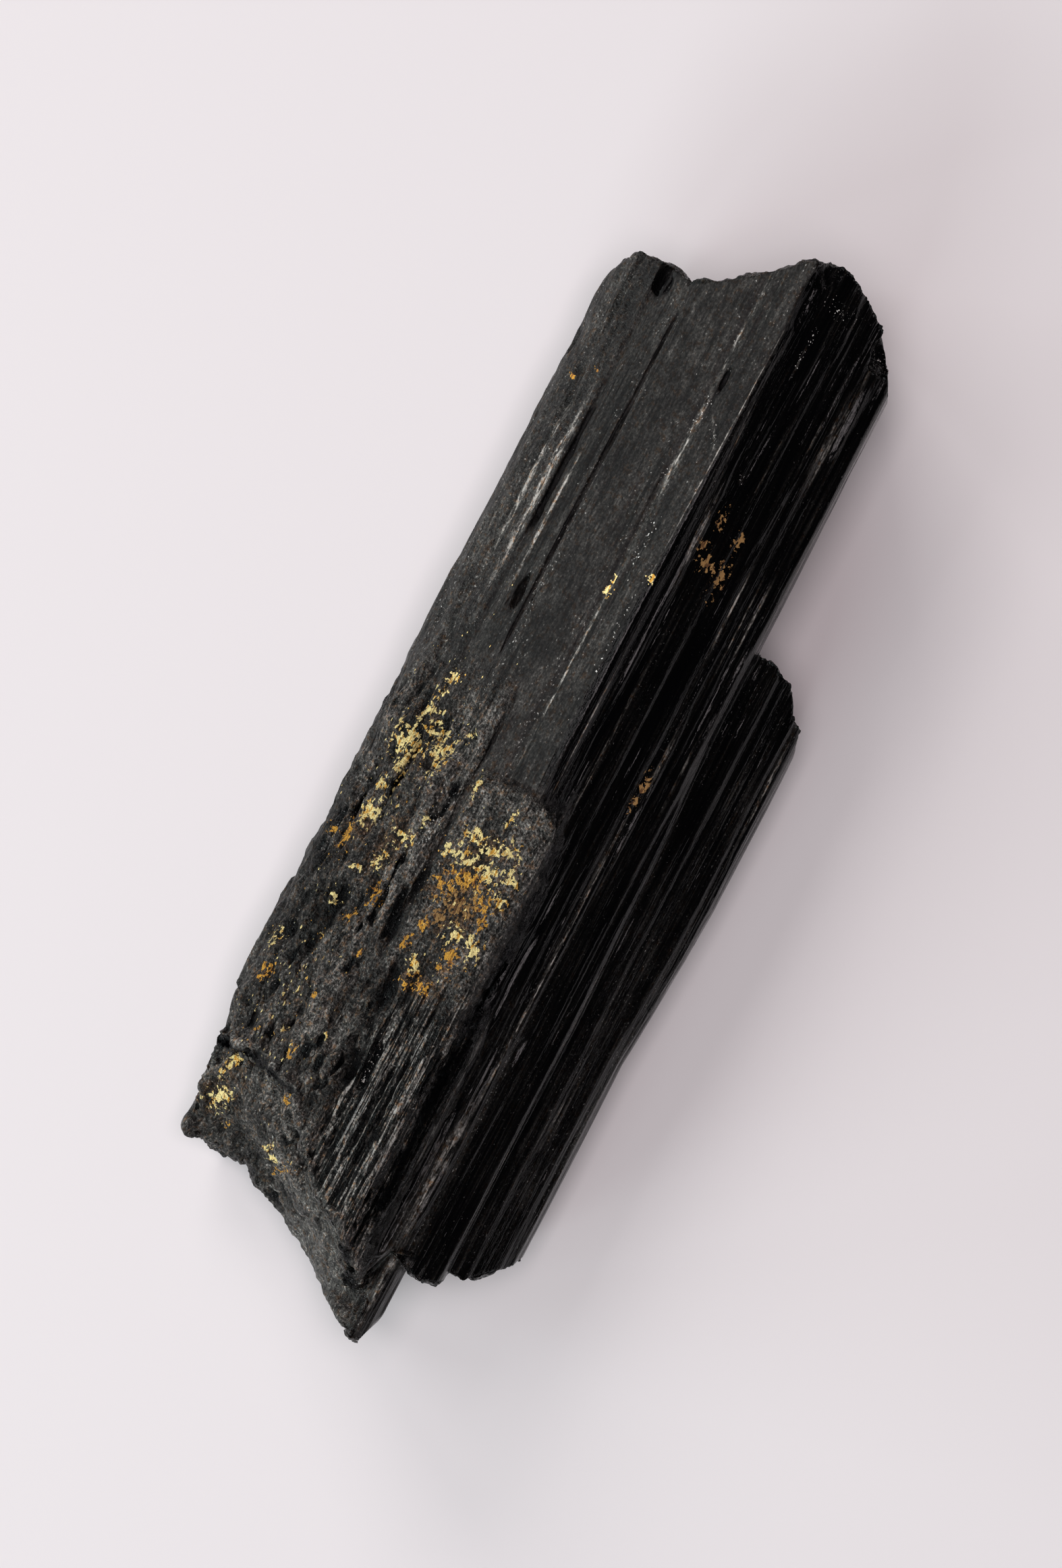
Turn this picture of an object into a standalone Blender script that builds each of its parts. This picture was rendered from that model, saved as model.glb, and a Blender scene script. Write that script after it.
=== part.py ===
# A black tourmaline crystal: parallel rods grown together into one striated log, broken at both ends.
# Lengths are in millimetres until the mesh is scaled. Y runs along the rods, X across them, Z is up.
import math

import bmesh
import bpy
from mathutils import Vector, noise

METRES_PER_MM = 0.001
SEED = 7.0
FOOT_Z = -0.6               # the feet reach this low before the resting face is cut across them
RESTING_Z = 0.0
RIDGE_X = 1.1
RIDGE_Z = 20.7
LENGTH_TOP = 48.0           # rods start past both ends and the breaks shorten them
LENGTH_BOTTOM = -46.0
PAST_TOP = 60.0             # the far side of each block that breaks an end off
PAST_BOTTOM = -60.0
TAPER = 1.0 / 408.0         # share by which the log narrows per millimetre of height
TAPER_LEVEL = 12.0
WELD = 0.00002

# Cross-sections, as (x, z) round each rod
MAIN_ROOF = [
    (-7.4, 15.9), (-6.7, 16.5), (-6.1, 17.4), (-4.3, 18.3), (-2.1, 19.2), (-1.7, 19.15),
    (-1.2, 19.6), (0.5, 20.5), (RIDGE_X, RIDGE_Z), (1.5, 20.35), (2.0, 19.85), (2.85, 19.15),
    (3.1, 19.05), (4.2, 18.5), (5.15, 17.9), (5.4, 17.6), (6.2, 17.2), (6.95, 16.75),
    (7.15, 16.45), (7.75, 16.2), (7.95, 15.9), (8.5, 15.6), (9.3, 15.1), (9.95, 14.7),
    (10.25, 14.1), (10.45, 12.6),
]
MAIN_UNDER = [
    (10.2, 6.6), (8.4, 2.2), (6.9, 0.5), (5.6, FOOT_Z), (2.4, FOOT_Z), (1.9, 0.45), (-1.1, 0.35),
    (-1.6, FOOT_Z), (-5.4, FOOT_Z), (-6.6, 0.6), (-7.6, 3.0), (-8.0, 9.0),
]
LEFT_ROOF = [
    (-5.2, 14.6), (-6.6, 16.1), (-7.0, 16.2), (-8.4, 15.1), (-8.75, 14.35), (-9.1, 14.4),
    (-10.3, 13.1), (-10.6, 12.5), (-11.0, 12.4), (-12.0, 10.9), (-12.45, 9.6),
]
LEFT_UNDER = [(-12.3, 7.4), (-11.4, 4.6), (-10.0, 2.0), (-8.3, 0.5), (-5.0, 0.3), (-4.6, 7.0)]
CREST_ROOF = [
    (-3.9, 17.9), (-3.6, 18.9), (-2.6, 19.2), (-1.6, 19.7), (-0.6, 20.1), (0.4, 20.7), (1.5, 21.0),
    (2.5, 21.2), (3.2, 21.0), (3.7, 20.4), (4.0, 19.4), (4.05, 16.5),
]
CREST_UNDER = [(2.6, 15.0), (-2.2, 15.0)]
SIDE_ROOF = [
    (6.6, 14.2), (8.0, 15.5), (8.9, 15.4), (9.3, 15.0), (10.2, 14.5), (10.95, 14.1),
    (11.2, 13.5), (11.3, 11.0),
]
SIDE_UNDER = [(10.9, 5.0), (9.4, 1.4), (6.2, 1.2), (5.0, 8.0)]
OUTER_ROOF = [
    (8.6, 11.6), (10.6, 12.2), (11.8, 11.7), (12.6, 11.2), (12.85, 10.85), (14.2, 10.0),
    (15.1, 9.5), (15.3, 9.15), (16.0, 8.6), (16.35, 7.0),
]
OUTER_UNDER = [(16.0, 2.2), (14.9, 0.7), (13.2, FOOT_Z), (10.6, FOOT_Z), (9.6, 0.6), (8.0, 0.9), (7.0, 5.0)]
TIP_ROOF = [(4.2, 10.8), (5.8, 12.8), (6.9, 14.3), (7.3, 14.4), (7.9, 13.9), (8.4, 12.6)]
TIP_UNDER = [(8.3, 6.0), (7.4, 2.4), (4.6, 2.2), (2.8, 6.0)]

# Where each rod breaks off, as y over x
MAIN_TOP_BREAK = [
    (-9.0, 37.4), (-6.4, 38.2), (-4.0, 40.0), (-1.5, 42.1), (0.2, 43.8), (1.7, 44.6), (3.5, 44.6),
    (5.3, 43.6), (6.9, 42.5), (8.2, 40.9), (9.4, 39.2), (10.3, 37.5), (12.0, 36.0),
]
LEFT_TOP_BREAK = [
    (-13.0, 34.5), (-12.4, 36.6), (-11.6, 38.1), (-10.5, 38.7), (-8.0, 38.9), (-6.7, 38.4), (-4.0, 38.0),
]
OUTER_TOP_BREAK = [
    (6.0, 16.6), (12.3, 16.1), (12.8, 15.6), (14.0, 15.4), (14.3, 13.6), (15.4, 13.3), (16.1, 12.2),
    (16.6, 10.4),
]
CREST_TOP_BREAK = [(-4.2, -1.3), (0.3, -0.5), (1.2, -0.9), (2.8, -1.5), (3.4, -2.7), (4.1, -4.6)]
UPPER_DIAGONAL = [
    (-14.0, -27.6), (-8.5, -27.6), (-5.0, -28.8), (-2.0, -32.2), (-0.2, -34.8), (2.0, -35.6),
    (3.8, -37.2), (6.1, -39.5), (6.4, -39.4), (6.6, -35.2), (8.6, -35.0), (12.0, -33.5),
]
LOWER_DIAGONAL = [
    (-14.0, -29.0), (-11.0, -32.0), (-8.5, -33.0), (-5.0, -35.0), (-3.4, -35.8), (-2.2, -36.9),
    (-1.8, -36.8), (0.0, -37.8), (1.5, -38.5), (1.7, -39.0), (4.0, -40.6), (6.2, -41.9), (6.5, -41.5),
    (6.8, -35.4), (12.0, -33.8),
]
SIDE_BOTTOM_BREAK = [(5.0, -34.6), (8.4, -36.0), (9.4, -36.5), (10.2, -36.5), (10.9, -36.1), (11.4, -35.0)]
OUTER_BOTTOM_BREAK = [
    (6.0, -34.9), (11.5, -34.9), (12.6, -34.9), (13.3, -34.5), (14.0, -33.7), (14.3, -33.1),
    (15.0, -32.7), (15.5, -31.9), (17.0, -31.0),
]
TIP_BREAK = [(3.0, -40.0), (5.0, -41.4), (6.6, -42.3), (7.2, -42.6), (7.7, -42.4), (8.05, -41.8), (8.2, -39.9),
             (9.0, -39.9)]
STUB_END = -35.0            # the low foot of the left rod that outlasts the slanting break
STUB_Z = 6.2
STUB_X = -6.0
LEFT_SEAM_X = -6.6
BREAK_FOOT_Z = 6.5


def clear_scene():
    for obj in list(bpy.data.objects):
        bpy.data.objects.remove(obj, do_unlink=True)


def schorl():
    material = bpy.data.materials.new("schorl")
    material.use_nodes = True
    shader = material.node_tree.nodes["Principled BSDF"]
    shader.inputs["Base Color"].default_value = (0.012, 0.012, 0.014, 1.0)
    shader.inputs["Roughness"].default_value = 0.35
    shader.inputs["Metallic"].default_value = 0.0
    return material


def uneven(x, y, z, scale, channel):
    """A smooth value from about -1 to 1, with lumps of the given size."""
    place = Vector((x / scale + SEED, y / scale + 13.1 * channel, z / scale - 4.7 * channel))
    return noise.noise(place) * 1.6


def along(table, x):
    """The table's second value at x, joined by straight lines and level past its ends."""
    if x <= table[0][0]:
        return table[0][1]
    for (x0, y0), (x1, y1) in zip(table, table[1:]):
        if x <= x1:
            return y0 + (y1 - y0) * (x - x0) / (x1 - x0)
    return table[-1][1]


def add_object(name, mesh):
    bmesh.ops.triangulate(mesh, faces=mesh.faces[:])
    bmesh.ops.recalc_face_normals(mesh, faces=mesh.faces[:])
    data = bpy.data.meshes.new(name)
    mesh.to_mesh(data)
    mesh.free()
    obj = bpy.data.objects.new(name, data)
    bpy.context.scene.collection.objects.link(obj)
    return obj


def close_rings(mesh, rings):
    """Walls between neighbouring rings, and a fan of triangles over the first and the last."""
    for lower, upper in zip(rings, rings[1:]):
        size = len(lower)
        for index in range(size):
            following = (index + 1) % size
            mesh.faces.new((lower[index], lower[following], upper[following], upper[index]))
    for ring in (rings[0], rings[-1]):
        middle = sum((vert.co for vert in ring), Vector()) / len(ring)
        centre = mesh.verts.new(middle)
        for index in range(len(ring)):
            mesh.faces.new((ring[index], ring[(index + 1) % len(ring)], centre))


def ribbed(outline, pitch, depth, channel):
    """The outline with points added about every pitch, set in or out by up to the depth as ribs."""
    result = []
    for index, (x, z) in enumerate(outline):
        result.append((x, z))
        if index == len(outline) - 1:
            break
        next_x, next_z = outline[index + 1]
        length = math.hypot(next_x - x, next_z - z)
        pieces = int(length / pitch)
        for piece in range(1, pieces):
            share = piece / pieces
            push = depth * uneven(3.7 * piece, 5.1 * index, 0.0, 1.0, channel)
            px = x + (next_x - x) * share - push * (next_z - z) / length
            pz = z + (next_z - z) * share + push * (next_x - x) / length
            result.append((px, pz))
    return result


def no_drift(x, y):
    return 0.0


def left_drift(x, y):
    """The left rod's outer side draws in towards its lower end."""
    inward = min(1.0, max(0.0, (-22.5 - y) / 11.0))
    return 1.0 * inward * min(1.0, max(0.0, (-9.0 - x) / 3.0))


def side_drift(x, y):
    """The side rod leans outward down its length."""
    return -0.95 * min(1.0, max(0.0, (y + 12.0) / 26.0))


def outer_drift(x, y):
    """The outer rod narrows by a small step part of the way down."""
    inward = 0.35 * min(1.0, max(0.0, (-2.0 - y) / 10.0)) + 0.35 * min(1.0, max(0.0, (-10.5 - y) / 3.0))
    return -inward * min(1.0, max(0.0, (x - 13.0) / 3.0))


def rod(name, outline, ends, spacing, ripple, lumps, drift, channel):
    """A prism along Y. Each corner wanders a little by ripple, and lumps swell the rough lower left."""
    bottom, top = ends
    mesh = bmesh.new()
    centre_x = sum(x for x, z in outline) / len(outline)
    centre_z = sum(z for x, z in outline) / len(outline)
    count = round((top - bottom) / spacing) + 1
    rings = []
    for step in range(count):
        y = bottom + (top - bottom) * step / (count - 1)
        ring = []
        for index, (x, z) in enumerate(outline):
            away = Vector((x - centre_x, z - centre_z)).normalized()
            rough = min(1.0, max(0.0, (7.0 - y) / 6.0)) * min(1.0, max(0.0, (-3.0 - x) / 2.0))
            push = ripple * uneven(5.3 * index, y, 0.0, 11.0, channel)
            push += lumps * rough * uneven(x, y, z, 2.6, channel + 2)
            ring.append(mesh.verts.new((x + drift(x, y) + away.x * push, y, z + away.y * push)))
        rings.append(ring)
    close_rings(mesh, rings)
    return add_object(name, mesh)


def break_block(name, surface, x_range, z_range, cell, far, grain, channel):
    """A block that removes a rod's end: one rough face at y = surface(x, z), the other flat at y = far."""
    mesh = bmesh.new()
    columns = round((x_range[1] - x_range[0]) / cell)
    rows = round((z_range[1] - z_range[0]) / cell)
    near_grid = []
    for i in range(columns + 1):
        line = []
        for j in range(rows + 1):
            x = x_range[0] + (x_range[1] - x_range[0]) * i / columns
            z = z_range[0] + (z_range[1] - z_range[0]) * j / rows
            inside = 0 < i < columns and 0 < j < rows
            shift = 0.3 * cell if inside else 0.0
            px = x + shift * uneven(3.1 * i, 2.3 * j, 0.0, 1.0, channel)
            pz = z + shift * uneven(1.7 * i, 4.1 * j, 9.0, 1.0, channel)
            py = surface(px, pz) + grain * uneven(px, 0.0, pz, 1.6 * cell, channel + 1)
            line.append(mesh.verts.new((px, py, pz)))
        near_grid.append(line)
    for i in range(columns):
        for j in range(rows):
            mesh.faces.new((near_grid[i][j], near_grid[i + 1][j], near_grid[i + 1][j + 1], near_grid[i][j + 1]))
    rim = [near_grid[i][0] for i in range(columns)]
    rim += [near_grid[columns][j] for j in range(rows)]
    rim += [near_grid[i][rows] for i in range(columns, 0, -1)]
    rim += [near_grid[0][j] for j in range(rows, 0, -1)]
    back = [mesh.verts.new((vert.co.x, far, vert.co.z)) for vert in rim]
    for index in range(len(rim)):
        following = (index + 1) % len(rim)
        mesh.faces.new((rim[index], rim[following], back[following], back[index]))
    mesh.faces.new(back)
    return add_object(name, mesh)


def spindle(name, x, z, bottom, top, width, height, lean):
    """A low rib, or the cutter of a groove: a four-sided sliver along Y, pointed at both ends."""
    mesh = bmesh.new()
    stations = [(0.0, 0.12), (0.15, 0.8), (0.45, 1.0), (0.8, 0.75), (1.0, 0.12)]
    rings = []
    for share, size in stations:
        y = bottom + (top - bottom) * share
        half = 0.5 * width * size
        rise = 0.5 * height * size
        tilt = Vector((math.cos(lean), math.sin(lean)))
        ring = []
        for across, up in ((-half, 0.0), (0.35 * half, rise), (half, 0.0), (0.0, -rise)):
            px = x + across * tilt.x - up * tilt.y
            pz = z + across * tilt.y + up * tilt.x
            ring.append(mesh.verts.new((px, y, pz)))
        rings.append(ring)
    close_rings(mesh, rings)
    return add_object(name, mesh)


def chip(name, centre, size, channel):
    """A rough ball used to knock a hollow out of an edge."""
    mesh = bmesh.new()
    bmesh.ops.create_icosphere(mesh, subdivisions=2, radius=1.0)
    for vert in mesh.verts:
        bump = 1.0 + 0.22 * uneven(vert.co.x * 9.0, vert.co.y * 9.0, vert.co.z * 9.0, 5.0, channel)
        for axis in range(3):
            vert.co[axis] = centre[axis] + vert.co[axis] * size[axis] * bump
    return add_object(name, mesh)


def combine(target, other, operation):
    """Applies one exact Boolean to the target and removes the helper."""
    modifier = target.modifiers.new(operation.lower(), "BOOLEAN")
    modifier.operation = operation
    modifier.solver = "EXACT"
    modifier.use_self = True
    modifier.object = other
    bpy.context.view_layer.update()
    graph = bpy.context.evaluated_depsgraph_get()
    result = bpy.data.meshes.new_from_object(target.evaluated_get(graph))
    target.modifiers.remove(modifier)
    target.data = result
    bpy.data.objects.remove(other, do_unlink=True)
    mesh = bmesh.new()
    mesh.from_mesh(result)
    bmesh.ops.triangulate(mesh, faces=mesh.faces[:])
    mesh.to_mesh(result)
    mesh.free()


def roof_height(x):
    return along(MAIN_ROOF, x)


def main_top(x, z):
    hang = roof_height(x) - z
    return along(MAIN_TOP_BREAK, x) - 0.10 * hang - 0.9 * max(0.0, uneven(x, 0.0, z, 6.0, 5))


def left_top(x, z):
    return along(LEFT_TOP_BREAK, x) - 0.12 * max(0.0, 12.0 - z)


def slanting_break(x, z, top_z):
    """The break leans out from the upper diagonal at the roof to the lower diagonal near the foot."""
    share = (top_z - z) / (top_z - BREAK_FOOT_Z)
    share = min(1.0, max(0.0, share))
    y = along(UPPER_DIAGONAL, x) * (1.0 - share) + along(LOWER_DIAGONAL, x) * share
    return y + 0.35 * max(0.0, BREAK_FOOT_Z - z)


def upper_bottom(x, z):
    """The slanting break across the left, main and crest rods, above the foot left on the left rod."""
    top_z = roof_height(x) + 0.4
    if x < LEFT_SEAM_X:
        top_z = max(11.5, along(LEFT_ROOF[::-1], x))
    if CREST_ROOF[0][0] < x < CREST_ROOF[-1][0]:
        top_z = along(CREST_ROOF, x)
    y = slanting_break(x, z, top_z)
    if x < STUB_X:
        foot = STUB_END + 0.10 * (STUB_Z - z)
        share = min(1.0, max(0.0, (STUB_Z + 0.6 - z) / 1.2))
        y = y * (1.0 - share) + foot * share
    return y


def crest_top(x, z):
    return along(CREST_TOP_BREAK, x) - 0.20 * (z - along(CREST_ROOF, x))


def side_top(x, z):
    return 17.5 - 0.5 * x


def side_bottom(x, z):
    return along(SIDE_BOTTOM_BREAK, x) + 0.10 * (14.5 - z)


def outer_top(x, z):
    return along(OUTER_TOP_BREAK, x) - 0.22 * max(0.0, along(OUTER_ROOF, x) - z)


def outer_bottom(x, z):
    return along(OUTER_BOTTOM_BREAK, x) + 0.15 * max(0.0, along(OUTER_ROOF, x) - z)


def tip_bottom(x, z):
    return along(TIP_BREAK, x) + 0.22 * max(0.0, 8.0 - z)


def shorten(body, surface, x_range, z_range, cell, far, grain, channel):
    """Breaks the end off a rod, or off several already joined."""
    block = break_block("end_block", surface, x_range, z_range, cell, far, grain, channel)
    combine(body, block, "DIFFERENCE")


def main_rod():
    outline = MAIN_ROOF + ribbed(MAIN_UNDER, 1.9, 0.22, 2)
    ends = (LENGTH_BOTTOM, LENGTH_TOP)
    body = rod("tourmaline_crystal", outline, ends, 5.6, 0.10, 0.16, no_drift, 1)
    shorten(body, main_top, (-10.0, 13.0), (-3.0, 24.0), 1.4, PAST_TOP, 0.35, 1)
    return body


def left_rod():
    outline = LEFT_ROOF + ribbed(LEFT_UNDER, 1.3, 0.25, 5)
    ends = (LENGTH_BOTTOM - 1.3, LENGTH_TOP)
    body = rod("left_rod", outline, ends, 2.9, 0.10, 0.34, left_drift, 6)
    shorten(body, left_top, (-14.5, -3.0), (-2.0, 18.5), 1.5, PAST_TOP, 0.30, 6)
    return body


def crest_rod():
    body = rod("crest_rod", CREST_ROOF + CREST_UNDER, (LENGTH_BOTTOM - 2.6, 6.0), 2.6, 0.17, 0.0, no_drift, 11)
    shorten(body, crest_top, (-5.0, 5.0), (13.0, 23.0), 1.1, PAST_TOP, 0.20, 11)
    return body


def side_rod():
    body = rod("side_rod", SIDE_ROOF + SIDE_UNDER, (LENGTH_BOTTOM, 22.0), 5.4, 0.10, 0.0, side_drift, 15)
    shorten(body, side_top, (3.5, 13.0), (-1.0, 18.0), 1.6, PAST_TOP, 0.30, 15)
    shorten(body, side_bottom, (3.5, 13.0), (-1.0, 18.0), 1.1, PAST_BOTTOM, 0.30, 16)
    return body


def outer_rod():
    outline = OUTER_ROOF + ribbed(OUTER_UNDER, 1.5, 0.20, 19)
    body = rod("outer_rod", outline, (LENGTH_BOTTOM, 24.0), 4.4, 0.09, 0.0, outer_drift, 20)
    shorten(body, outer_top, (5.0, 18.0), (-3.0, 14.5), 0.75, PAST_TOP, 0.20, 20)
    shorten(body, outer_bottom, (5.0, 18.0), (-3.0, 14.5), 1.1, PAST_BOTTOM, 0.25, 21)
    return body


def tip_rod():
    body = rod("tip_rod", TIP_ROOF + TIP_UNDER, (-48.0, -20.0), 6.0, 0.05, 0.0, no_drift, 25)
    shorten(body, tip_bottom, (2.0, 10.0), (0.0, 16.5), 0.8, PAST_BOTTOM, 0.12, 25)
    return body


def add_ribs(body):
    """Narrow laths that stand proud of the right side."""
    slope = math.radians(-34.0)
    ribs = [
        (2.45, 7.0, 31.0, 0.8, 0.5), (7.0, 27.5, 41.0, 0.5, 0.5), (8.6, 31.5, 38.2, 0.5, 0.5),
        (5.3, 37.5, 42.6, 0.5, 0.4), (8.0, -4.0, 10.5, 0.5, 0.5), (7.35, -34.0, -17.0, 1.5, 0.7),
        (9.8, 5.0, 17.0, 0.5, 0.4), (4.7, -35.5, -22.0, 0.5, 0.5),
    ]
    for number, (x, bottom, top, width, height) in enumerate(ribs):
        lath = spindle("rib_%d" % number, x, roof_height(x) + 0.05, bottom, top, width, height, slope)
        combine(body, lath, "UNION")


def cut_grooves(body):
    """Seams between rods, and the narrow pits."""
    slope = math.radians(26.0)
    grooves = [
        (-6.45, 16.7, 6.0, 37.6, 0.8, 1.3), (-8.8, 14.6, 16.0, 27.5, 0.7, 1.0),
        (-4.05, 18.5, -14.5, 4.5, 0.6, 1.3), (-7.3, 15.9, 10.8, 13.8, 0.9, 2.8),
        (-6.1, 17.0, 11.7, 13.0, 0.6, 1.4), (-1.15, 19.7, 32.2, 34.4, 0.4, 1.0),
        (-8.7, 14.6, 36.4, 41.0, 1.3, 2.8), (-0.2, 20.9, -30.0, -20.5, 0.5, 0.9),
    ]
    for number, (x, z, bottom, top, width, depth) in enumerate(grooves):
        sliver = spindle("groove_%d" % number, x, z, bottom, top, width, depth, slope)
        combine(body, sliver, "DIFFERENCE")


def knock_chips(body):
    """Hollows broken out of the edges and the rough lower left."""
    chips = [
        ((8.6, 40.6, 15.2), (1.5, 1.9, 1.6)), ((2.6, 44.2, 20.2), (1.7, 2.4, 1.3)),
        ((-9.6, -17.3, 14.6), (1.0, 1.2, 0.8)), ((-5.4, -24.0, 18.7), (1.8, 0.9, 1.1)),
        ((3.9, -33.9, 20.6), (0.8, 2.2, 1.2)), ((4.6, -38.2, 19.3), (1.3, 1.4, 1.6)),
        ((8.5, -18.4, 16.2), (0.8, 2.4, 0.8)), ((-12.6, 31.0, 9.8), (0.6, 1.9, 1.2)),
        ((13.7, 14.7, 11.0), (0.8, 0.9, 0.8)), ((-12.7, -24.5, 9.8), (0.8, 1.6, 1.6)),
    ]
    for number, (centre, size) in enumerate(chips):
        combine(body, chip("chip_%d" % number, centre, size, 30 + number), "DIFFERENCE")


def flatten_rest(body):
    """Planes off the underside, so the crystal lies on a level face of the rods."""
    mesh = bmesh.new()
    bmesh.ops.create_cube(mesh, size=1.0)
    for vert in mesh.verts:
        vert.co.x = vert.co.x * 60.0
        vert.co.y = vert.co.y * 160.0
        vert.co.z = RESTING_Z - 10.0 + vert.co.z * 20.0
    combine(body, add_object("rest_plane", mesh), "DIFFERENCE")


def settle(body):
    """Tapers and scales to metres, welds stray corners, and puts the origin under the middle of the box."""
    mesh = bmesh.new()
    mesh.from_mesh(body.data)
    for vert in mesh.verts:
        share = 1.0 - TAPER * (vert.co.z - TAPER_LEVEL)
        vert.co.x *= share
        vert.co.y *= share
    bmesh.ops.scale(mesh, vec=Vector((METRES_PER_MM,) * 3), verts=mesh.verts[:])
    bmesh.ops.remove_doubles(mesh, verts=mesh.verts[:], dist=WELD)
    bmesh.ops.dissolve_degenerate(mesh, edges=mesh.edges[:], dist=WELD)
    bmesh.ops.triangulate(mesh, faces=mesh.faces[:])
    low = Vector(min(vert.co[axis] for vert in mesh.verts) for axis in range(3))
    high = Vector(max(vert.co[axis] for vert in mesh.verts) for axis in range(3))
    middle = (low + high) / 2.0
    bmesh.ops.translate(mesh, vec=Vector((-middle.x, -middle.y, -low.z)), verts=mesh.verts[:])
    bmesh.ops.recalc_face_normals(mesh, faces=mesh.faces[:])
    mesh.to_mesh(body.data)
    mesh.free()


def tourmaline_crystal():
    body = main_rod()
    for other in (left_rod(), crest_rod()):
        combine(body, other, "UNION")
    shorten(body, upper_bottom, (-14.5, 13.0), (-3.0, 24.0), 1.25, PAST_BOTTOM, 0.28, 4)
    for other in (side_rod(), outer_rod(), tip_rod()):
        combine(body, other, "UNION")
    add_ribs(body)
    cut_grooves(body)
    knock_chips(body)
    flatten_rest(body)
    settle(body)
    body.data.materials.clear()
    body.data.materials.append(schorl())
    for face in body.data.polygons:
        face.material_index = 0
        face.use_smooth = False


clear_scene()
tourmaline_crystal()
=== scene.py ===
import math

import bmesh
import bpy
import numpy as np
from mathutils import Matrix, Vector, noise

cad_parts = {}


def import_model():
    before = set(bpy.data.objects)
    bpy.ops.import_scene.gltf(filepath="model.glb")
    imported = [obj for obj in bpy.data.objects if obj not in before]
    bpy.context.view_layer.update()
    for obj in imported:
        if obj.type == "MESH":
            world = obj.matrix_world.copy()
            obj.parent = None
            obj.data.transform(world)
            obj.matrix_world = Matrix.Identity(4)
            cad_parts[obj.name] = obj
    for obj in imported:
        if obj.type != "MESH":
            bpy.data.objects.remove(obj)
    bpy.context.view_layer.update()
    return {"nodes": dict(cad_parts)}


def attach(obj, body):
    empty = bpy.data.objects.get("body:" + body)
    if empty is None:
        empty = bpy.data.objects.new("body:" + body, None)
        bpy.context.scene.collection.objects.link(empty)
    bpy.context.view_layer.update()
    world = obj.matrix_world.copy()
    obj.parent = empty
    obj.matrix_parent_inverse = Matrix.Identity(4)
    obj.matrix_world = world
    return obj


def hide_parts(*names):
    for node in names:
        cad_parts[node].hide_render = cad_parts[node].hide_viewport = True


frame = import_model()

mmPerMetre = 1000.0


def linearColour(hexText):
    # sRGB hex to the linear values that shaders and lights take
    channels = [int(hexText[i:i + 2], 16) / 255.0 for i in (1, 3, 5)]
    return [c / 12.92 if c <= 0.04045 else ((c + 0.055) / 1.055) ** 2.4 for c in channels] + [1.0]


def addNode(tree, kind, sockets=None, out=0, **settings):
    # adds one node with its settings, gives each socket its value or link, and returns one output
    node = tree.nodes.new(kind)
    for name, value in settings.items():
        setattr(node, name, value)
    for name, value in (sockets or {}).items():
        if isinstance(value, bpy.types.NodeSocket):
            tree.links.new(value, node.inputs[name])
        else:
            node.inputs[name].default_value = value
    return node.outputs[out] if len(node.outputs) else node


def maths(tree, operation, *values, **settings):
    # one Math node, with its values or links in their order
    return addNode(tree, "ShaderNodeMath", dict(enumerate(values)), operation=operation, **settings)


def mapRange(tree, value, limits, **settings):
    # one Map Range node; limits are (from, to), or (from, to, result at from, result at to)
    ends = zip(("From Min", "From Max", "To Min", "To Max"), limits)
    return addNode(tree, "ShaderNodeMapRange", {"Value": value, **dict(ends)}, **settings)


def mix(tree, factor, first, second, kind="RGBA"):
    # one Mix node, for two colours or for two numbers
    socket, out = {"RGBA": (6, 2), "FLOAT": (2, 0)}[kind]
    given = {0: factor, socket: first, socket + 1: second}
    return addNode(tree, "ShaderNodeMix", given, out=out, data_type=kind)


def joined(tree, operation, parts):
    # a row of Math nodes that puts the parts together one after the other
    total = parts[0]
    for part in parts[1:]:
        total = maths(tree, operation, total, part)
    return total


# ---- camera, lights and floor

viewValues = {
    "aboveFloor": 0.420,                # metres; the camera looks straight down
    "turn": 27.5,                       # degrees that the rods lean clockwise in the view
    "lens": 126.4,                      # mm
    "sensor": 36.0,                     # mm along the view's long side
    "clip": (0.01, 20.0),               # metres
    "rodsAt": (-0.001961, -0.000704),   # where the rods' own middle line lies, metres
}


def placeCamera():
    data = bpy.data.cameras.new("overheadCamera")
    data.lens = viewValues["lens"]
    data.sensor_width = viewValues["sensor"]
    data.clip_start, data.clip_end = viewValues["clip"]
    camera = bpy.data.objects.new("overheadCamera", data)
    camera.location = (*viewValues["rodsAt"], viewValues["aboveFloor"])
    camera.rotation_euler = (0.0, 0.0, math.radians(viewValues["turn"]))
    bpy.context.scene.collection.objects.link(camera)
    bpy.context.scene.camera = camera


lightValues = {
    # softboxes: degrees round from the view's right, degrees up, metres across and high, watts, colour
    "softboxes": {
        "windowUp": (110, 32, 0.35, 0.25, 1.95, "#fffaf8"),
        "windowLow": (180, 8, 0.35, 0.20, 2.85, "#ecffff"),
        "windowLeft": (210, 18, 0.35, 0.20, 2.25, "#f0ffff"),
        "windowDown": (240, 32, 0.35, 0.25, 1.70, "#f2ffff"),
        "windowHigh": (150, 48, 0.35, 0.25, 0.95, "#ffffff"),
        "overhead": (180, 90, 0.35, 0.35, 2.85, "#fff3f6"),
    },
    "distance": 0.8,                    # metres from the middle of the floor
    "room": 0.03,                       # strength of the light from the dim room around
    "roomColour": "#ffffff",
}


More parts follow.
